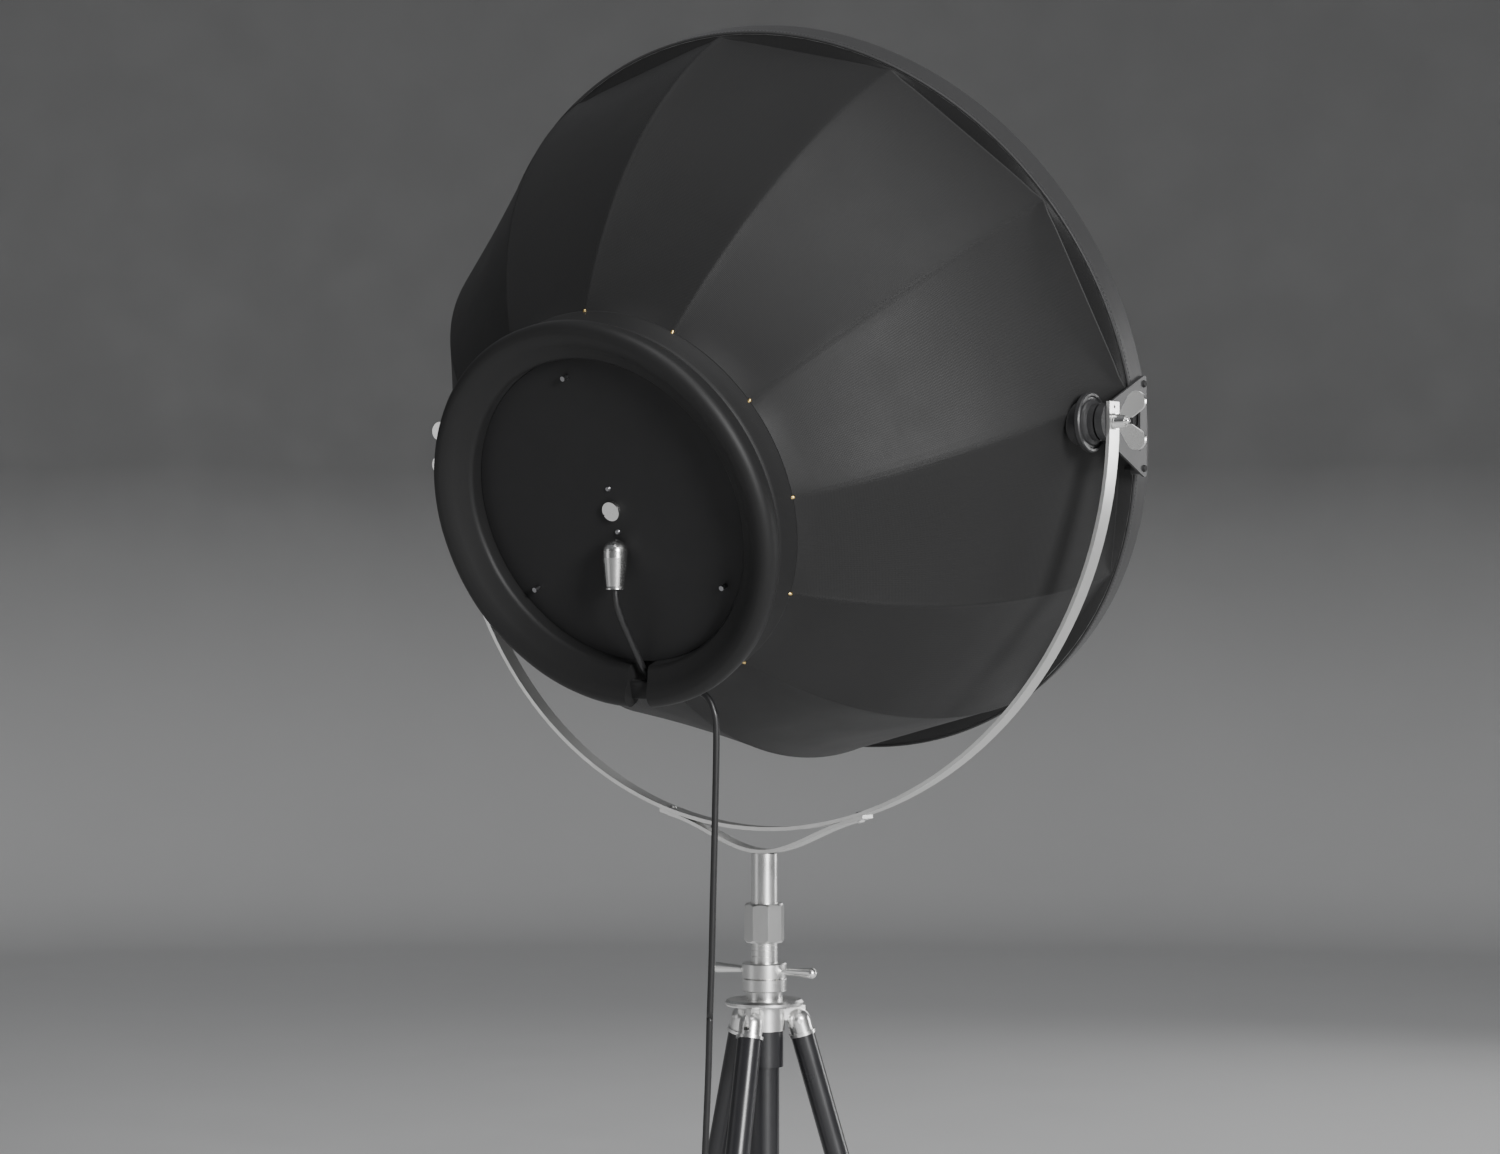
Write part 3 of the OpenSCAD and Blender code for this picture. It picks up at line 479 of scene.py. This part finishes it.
def coil_tie():
    """A hook-and-loop strap round the coil's turns."""
    thick, wide, turns_half = 1.2 * MM, 14 * MM, COIL_PITCH * COIL_TURNS / 2
    mid_r = COIL_OUTER - turns_half / 2
    half_r = turns_half / 2 + CORD_R + thick
    low, high = 0.2 * MM, COIL_HIGH + CORD_R + thick
    outline = []
    corner = 4 * MM
    for cx, cz, start in (
        (half_r - corner, high - corner, 0), (-half_r + corner, high - corner, 90),
        (-half_r + corner, low + corner, 180), (half_r - corner, low + corner, 270),
    ):
        outline += arc((cx, cz), corner, start, start + 90, 5)
    shrink_x, shrink_z = 1 - thick / half_r, 1 - 2 * thick / (high - low)
    inner = [(x * shrink_x, low + (z - low) * shrink_z + thick) for x, z in outline]
    rows = []
    angle = math.radians(35)
    outward = Vector((math.cos(angle), math.sin(angle), 0))
    along = Vector((-math.sin(angle), math.cos(angle), 0))
    base = Vector((COIL_AT.x, COIL_AT.y, 0)) + outward * mid_r
    for shape, side in ((inner, -1), (outline, -1), (outline, 1), (inner, 1), (inner, -1)):
        rows.append([base + outward * x + Vector((0, 0, z)) + along * side * wide / 2 for x, z in shape])
    bm = grid_mesh(rows, True, lambda i, k: (i * 0.007, k * 0.004))
    bmesh.ops.remove_doubles(bm, verts=bm.verts, dist=1e-6)
    return make_object("coil_strap", bm, THREAD)


strap = coil_tie()
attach(strap, "stand")

free_cord(
    "cord_coiled", slack_path(), "stand", ["cord_coil", "cord_link", "cord_tail"],
)

# ---------------------------------------------------------------- shade


def head_point(r, az, w):
    """A point of the shade's frame, in polar form, in the lamp's frame."""
    return HEAD @ Vector((r * math.cos(az), r * math.sin(az), w))


def rib_point(angle, inset=0.0):
    """Radius and depth of the rib line, an arc that turns from the root to the rim."""
    r = ROOT_R - RIB_BEND * math.sin(RIB_A0) + (RIB_BEND - inset) * math.sin(angle)
    w = RIB_BEND * math.cos(RIB_A0) - (RIB_BEND - inset) * math.cos(angle)
    return r, w


# Where each panel's columns stand, from its middle (0) to a rib (1): close together at the seam.
COLUMN_SHARES = (0, 0.25, 0.5, 0.72, 0.87, 0.945, 0.978, 1)
COLUMNS = [-s for s in reversed(COLUMN_SHARES)] + list(COLUMN_SHARES[1:-1])
# Where the rows stand along a rib, as shares of its length: close together at the panel's outer edge.
ROW_SHARES = [i / 30 for i in range(30)] + [0.983, 0.994, 1]
# Past that edge the cloth runs out to the band: share of the way, and depth.
EDGE_ROWS = ((0.04, 0.1 * MM), (0.3, 1.0 * MM), (0.65, 2.2 * MM), (0.9, 3.2 * MM), (1, 3.8 * MM))
PANEL_DIP = 3 * MM
FOLD_DEPTH = 1.4 * MM
SLACK_DEPTH = 1.0 * MM
SLACK_SIZE = 0.11
# Cloth that the gores are cut from: past the rib's end, and across a panel.
HEM = 17 * MM
PANEL_ACROSS = 0.19


def panel_radius(rib_r, share, dip):
    """Radius of a panel that is nearly flat between its ribs."""
    turn = share * HALF_PANEL
    return (rib_r * math.cos(HALF_PANEL) - dip * (1 - share**2)) / math.cos(turn)


def crumple(point, size, depth):
    """Slight unevenness of stretched cloth."""
    return depth * noise.noise(point / size)


def column_azimuth(panel, share):
    return math.pi / 2 + 2 * HALF_PANEL * panel + HALF_PANEL * (share + 1)


def skin_rows(inset, rim_in):
    """Rows of points of the shade's cloth, from the rear band to inside the rim band."""
    rows = []
    for t in ROW_SHARES:
        rib_r, w = rib_point(RIB_A0 + (RIB_A1 - RIB_A0) * t, inset)
        dip = PANEL_DIP * math.sin(math.pi * t)
        row = []
        for panel in range(PANELS):
            for share in COLUMNS:
                az = column_azimuth(panel, share)
                r = panel_radius(rib_r, share, dip)
                # The cloth is pulled round at the root, where it is sewn to the round band.
                r += (rib_r - r) * (1 - smoothstep(t / 0.05)) * 0.9
                # Tension folds run in from each rib's tip.
                fold = smoothstep((t - 0.82) / 0.18) * math.exp(-(((abs(share) - 0.86) / 0.1) ** 2))
                r -= FOLD_DEPTH * fold
                seam = math.exp(-(((1 - abs(share)) / 0.03) ** 2))
                point = head_point(r, az, w)
                slack = (1 - seam) * smoothstep(t * 4) * smoothstep((1 - t) * 5)
                r += crumple(point, SLACK_SIZE, SLACK_DEPTH) * slack
                row.append(head_point(r, az, w))
        rows.append(row)
    rib_r, edge_w = rib_point(RIB_A1, inset)
    for share_out, depth in EDGE_ROWS:
        row = []
        for panel in range(PANELS):
            for share in COLUMNS:
                az = column_azimuth(panel, share)
                chord = panel_radius(rib_r, share, 0)
                end_r = RIM_R - rim_in
                row.append(head_point(chord + (end_r - chord) * share_out, az, edge_w + depth))
        rows.append(row)
    return rows


def skin_uv(i, k):
    """UV in metres: across the cloth, and along a rib."""
    across = k / len(COLUMNS) * PANEL_ACROSS
    if i < len(ROW_SHARES):
        return across, ROW_SHARES[i] * RIB_LENGTH
    return across, RIB_LENGTH + EDGE_ROWS[i - len(ROW_SHARES)][0] * HEM


def shade_skin(name, inset, rim_in, material, node):
    """Makes one layer of cloth over the whole shade, sewn from gores."""
    obj = make_object(name, grid_mesh(skin_rows(inset, rim_in), True, skin_uv), material)
    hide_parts(node)
    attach(obj, "head")


shade_skin("cover", 0.4 * MM, 3.6 * MM, COVER_CLOTH, "shade_cover")
shade_skin("lining", 2.4 * MM, 5.2 * MM, LINING_CLOTH, "shade_lining")


def revolved(name, profile, material, start=0.0, turn=2 * math.pi, steps=180, caps=False):
    """A profile of (r, w) points turned about the lamp's axis; the profile is a closed loop."""
    whole = turn >= 2 * math.pi - 1e-6
    count = steps if whole else steps + 1
    lengths = [0.0]
    loop = list(profile) + [profile[0]]
    for (r0, w0), (r1, w1) in zip(loop, loop[1:]):
        lengths.append(lengths[-1] + math.hypot(r1 - r0, w1 - w0))
    mean_r = sum(r for r, _ in profile) / len(profile)
    rows = [
        [head_point(r, start + turn * i / steps, w) for r, w in profile]
        for i in range(count)
    ]
    if whole:
        rows.append(rows[0])
    bm = grid_mesh(rows, True, lambda i, k: (mean_r * turn * i / steps, lengths[k]), caps=caps and not whole)
    if whole:
        bmesh.ops.remove_doubles(bm, verts=bm.verts, dist=1e-6)
    for face in bm.faces:
        if len(face.verts) > 4:
            for edge in face.edges:
                edge.smooth = False
    return make_object(name, bm, material)


def slotted(half_width, radius):
    """Start and turn of a ring that leaves the cord's slot open at the bottom."""
    half = math.asin(half_width / radius)
    return -math.pi / 2 + half, 2 * (math.pi - half)


# ---- padded ring round the back plate

ring_start, ring_turn = slotted(SLOT_HALF, RING_MID_R)
ring_profile = (
    [(RING_IN + 3 * MM, -16 * MM), (RING_IN + 0.6 * MM, -24 * MM), (RING_IN + 0.2 * MM, -33 * MM)]
    + arc((RING_IN + 8 * MM, -43 * MM), 8 * MM, 185, 245, 5)
    + [(201 * MM, -54.5 * MM), (208 * MM, -59.5 * MM), (214.5 * MM, -63.9 * MM)]
    + arc((RING_OUT - 12 * MM, -55 * MM), 12 * MM, 262, 360, 9)
    + [(235.2 * MM, -46 * MM), (232 * MM, -38.5 * MM), (227 * MM, -33 * MM), (223 * MM, -31 * MM)]
    + [(221.5 * MM, -24 * MM), (221 * MM, -16.2 * MM)]
)


def soft_ring():
    """The padded ring, with closed flat ends and the unevenness of a stuffed roll."""
    obj = revolved("rear_roll", ring_profile, RING_CLOTH, ring_start, ring_turn, 240, caps=True)
    for vert in obj.data.vertices:
        local = HEAD.inverted() @ vert.co
        out = math.hypot(local.x, local.y)
        puff = noise.noise(Vector((math.atan2(local.y, local.x) * 3.0, 0, 0))) * 0.5
        puff += noise.noise(vert.co / 0.035) * 0.35
        if local.z < -34 * MM:
            local.z -= puff * 0.7 * MM
            local.x += local.x / out * puff * 0.3 * MM
            local.y += local.y / out * puff * 0.3 * MM
            vert.co = HEAD @ local
    return obj


rear_roll = soft_ring()
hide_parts("rear_ring")
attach(rear_roll, "head")

# The notch's floor, which the cord runs in under. It is dark cloth put across the notch, so it also stands
# in for the shade seen through the notch: painted shade.
notch_profile = [
    (206 * MM, -44 * MM), (206 * MM, -50.5 * MM), (207.5 * MM, -52 * MM), (226 * MM, -52.5 * MM),
    (228 * MM, -51 * MM), (228 * MM, -44 * MM),
]
notch_half = math.asin((SLOT_HALF + 0.4 * MM) / RING_MID_R)
notch_floor_painted_shade = revolved(
    "notch_floor_painted_shade", notch_profile, BAND_CLOTH, -math.pi / 2 - notch_half, 2 * notch_half, 12, caps=True,
)
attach(notch_floor_painted_shade, "head")

# ---- flared cloth band between the ring and the ribs

# Its notch is wider than the ring's on the side where the cord comes out.
band_start, band_turn = slotted(SLOT_HALF, COLLAR_R)
band_turn -= 11 * MM / COLLAR_R
band_profile = (
    [(223.8 * MM, -30.8 * MM), (225.4 * MM, -30.6 * MM), (226.6 * MM, -24 * MM), (228 * MM, -16 * MM)]
    + [(229.6 * MM, -8 * MM), (231.6 * MM, -1.2 * MM), (231.9 * MM, 0.4 * MM), (230.6 * MM, 0.6 * MM)]
    + [(229.8 * MM, -1.2 * MM), (228 * MM, -8 * MM), (226.5 * MM, -16 * MM), (225 * MM, -24 * MM)]
)
rear_collar = revolved("rear_collar", band_profile, BAND_CLOTH, band_start, band_turn, 240, caps=True)
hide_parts("rear_band")
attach(rear_collar, "head")

# ---- binding round the rim, over a hoop, with a bead at its rear edge

rim_profile = (
    arc((RIM_R - 1.6 * MM, BAND_REAR + 1.4 * MM), 1.8 * MM, 200, 395, 9)
    + [(RIM_R - 0.5 * MM, BAND_REAR + 4 * MM), (RIM_R - 0.35 * MM, BAND_REAR + 14 * MM)]
    + [(RIM_R - 0.2 * MM, BAND_REAR + 26 * MM), (RIM_R - 0.4 * MM, BAND_FRONT - 5 * MM)]
    + arc((RIM_R - 2.2 * MM, BAND_FRONT - 2.2 * MM), 2.1 * MM, 20, 180, 7)
    + [(RIM_R - 3.9 * MM, BAND_FRONT - 12 * MM), (RIM_R - 3.6 * MM, BAND_REAR + 12 * MM)]
)
rim_binding = revolved("rim_binding", rim_profile, RIM_CLOTH, 0, 2 * math.pi, 300)
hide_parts("rim_band")
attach(rim_binding, "head")


def stitches(name, radius, w, pitch, material):
    """A round of short stitches, each a small rounded bar that stands a little proud."""
    count = round(2 * math.pi * radius / pitch)
    bm = bmesh.new()
    for n in range(count):
        az = 2 * math.pi * n / count
        half = 0.31 * pitch / radius
        rise = 0.35 * MM
        rings = []
        for share, size in ((-1, 0.25), (-0.6, 0.9), (0, 1.05), (0.6, 0.9), (1, 0.25)):
            ring = []
            for k in range(6):
                a = 2 * math.pi * k / 6
                ring.append(bm.verts.new(head_point(
                    radius + rise * size * math.cos(a), az + half * share, w + rise * size * math.sin(a),
                )))
            rings.append(ring)
        add_rings(bm, rings)
    bmesh.ops.recalc_face_normals(bm, faces=bm.faces)
    return make_object(name, bm, material)


rim_stitching = stitches("rim_stitching", RIM_R - 0.25 * MM, BAND_REAR + 6 * MM, 5 * MM, THREAD)
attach(rim_stitching, "head")


def rib_eyelets():
    """A small brass cap over each rib's root, where it comes out between cover and band."""
    bm = bmesh.new()
    sides, rows = 16, ((-4, 1.2), (-3.2, 1.9), (-1, 2.2), (1.6, 2.1), (2.8, 1.6), (3.4, 0.6))
    for n in range(PANELS):
        az = math.pi / 2 + 2 * math.pi * n / PANELS
        r, w = rib_point(RIB_A0)
        along = Vector((math.cos(RIB_A0), 0, math.sin(RIB_A0)))
        across = Vector((0, 1, 0))
        up = along.cross(across)
        turn = Matrix.Rotation(az, 4, "Z")
        rings = []
        for t, size in rows:
            ring = []
            for k in range(sides):
                a = 2 * math.pi * k / sides
                local = Vector((r - 0.4 * MM, 0, w)) + along * t * MM
                local += (across * math.cos(a) + up * math.sin(a)) * size * MM
                ring.append(bm.verts.new(HEAD @ turn @ local))
            rings.append(ring)
        add_rings(bm, rings)
    bmesh.ops.recalc_face_normals(bm, faces=bm.faces)
    return make_object("rib_caps", bm, BRASS)


rib_caps = rib_eyelets()
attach(rib_caps, "head")

# ---------------------------------------------------------------- CAD nodes that stay

FINISHES = {
    SATIN: [
        "tripod_flange", "tripod_hub", "lower_clamp_ring", "clamp_ring", "clamp_handles", "mast_pole",
        "swivel_nut", "yoke_stub", "yoke_rivets", "leg_1_cap", "leg_2_cap", "leg_3_cap",
        "leg_1_pin", "leg_2_pin", "leg_3_pin", "bulb_base",
    ],
    STRIP: ["yoke_strip", "yoke_support"],
    BRIGHT: ["wing_nut_left", "wing_nut_right", "centre_screw", "cable_gland", "pivot_bolts", "plug_pins"],
    BRASS: ["clamp_collet", "rib_roots"],
    RIB_STEEL: ["ribs", "plate_studs", "plate_screws"],
    TUBE_BLACK: ["column_sleeve", "column_tube", "leg_1_tube", "leg_2_tube", "leg_3_tube"],
    PLATE_BLACK: ["hub_plate", "back_plate", "bracket_screws"],
    BRACKET_GREY: ["brackets"],
    PLASTIC: [
        "column_end_cap", "mast_guide", "pivot_bosses", "bracket_pads", "cord_clip",
        "switch_body", "switch_button", "plug_body",
    ],
    RUBBER: ["leg_1_foot", "leg_2_foot", "leg_3_foot"],
    CERAMIC: ["lampholder"],
    GLASS: ["bulb_glass"],
}
SHARP = {"yoke_strip", "yoke_support", "brackets", "swivel_nut", "wing_nut_left", "wing_nut_right"}

for material, names in FINISHES.items():
    for name in names:
        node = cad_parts[name]
        node.data.materials.clear()
        node.data.materials.append(material)
        bevel = node.modifiers.new("edges", "BEVEL")
        bevel.width = 0.7 * MM if name in SHARP else 0.4 * MM
        bevel.segments = 2
        bevel.limit_method = "ANGLE"
        bevel.angle_limit = math.radians(50)
        bevel.harden_normals = False

# ---------------------------------------------------------------- floor and light


def studio_sweep():
    """A round pale floor that curves up into a wall, so that no edge shows from any side."""
    flat_r, bend, wall_top, sides = 12.0, 2.5, 7.0, 96
    profile = [(0.02, 0), (2, 0), (4, 0), (8, 0), (flat_r, 0)]
    profile += [
        (flat_r + bend * math.sin(a), bend - bend * math.cos(a))
        for a in (math.pi / 2 * n / 12 for n in range(1, 13))
    ]
    profile.append((flat_r + bend, wall_top))
    rows = [
        [Matrix.Rotation(2 * math.pi * k / sides, 3, "Z") @ Vector((r, 0, z)) for k in range(sides)]
        for r, z in profile
    ]
    bm = grid_mesh(rows, True)
    bm.faces.new([v for v in bm.verts if v.co.xy.length < 0.05])
    bmesh.ops.recalc_face_normals(bm, faces=bm.faces)
    s = Shader("studio_floor", (0.80, 0.80, 0.80), 0.7)
    # The floor is pale, and the wall behind it is painted darker with height, down to grey by 2.4 m: painted
    # shade, as if the wall were less lit.
    height = s.nodes.new("ShaderNodeSeparateXYZ")
    s.link(s.object, height.inputs["Vector"])
    rise = s.spread(height.outputs["Z"], 0, 1, 0.2, 2.4)
    s.tint(s.joined(rise, s.spread(s.noise(0.6, 4), -0.02, 0.02), "ADD"), 1.0, 0.28)
    s.roughen(s.noise(3, 4), 0.65, 0.8)
    s.bump(s.noise(60, 4), 0.0002, 0.2)
    return make_object("studio_floor", bm, s.material)


studio_sweep()

world = bpy.data.worlds.new("studio")
bpy.context.scene.world = world
world.use_nodes = True
world.node_tree.nodes["Background"].inputs["Color"].default_value = (0.95, 0.97, 1.0, 1)
world.node_tree.nodes["Background"].inputs["Strength"].default_value = 0.15


def softbox(name, place, size, power):
    """A rectangular area light that faces the lamp's head from a place on the studio's rim."""
    data = bpy.data.lights.new(name, "AREA")
    data.shape = "RECTANGLE"
    data.size, data.size_y = size
    data.energy = power
    data.spread = math.radians(150)
    obj = bpy.data.objects.new(name, data)
    obj.location = place
    obj.rotation_euler = (PIVOT - obj.location).to_track_quat("-Z", "Y").to_euler()
    obj.visible_camera = False
    bpy.context.collection.objects.link(obj)


softbox("key_light", Vector((-7.5, 4.0, 3.5)), (1.7, 3.1), 690)
softbox("top_light", Vector((-2.0, 1.6, 7.3)), (2.7, 2.7), 140)
softbox("fill_light", Vector((5.4, 7.1, 2.2)), (3.4, 3.4), 24)
softbox("side_light", Vector((-4.9, -8.6, 2.2)), (1.7, 2.7), 120)
softbox("front_light", Vector((1.4, -8.6, 3.9)), (4.1, 4.1), 60)
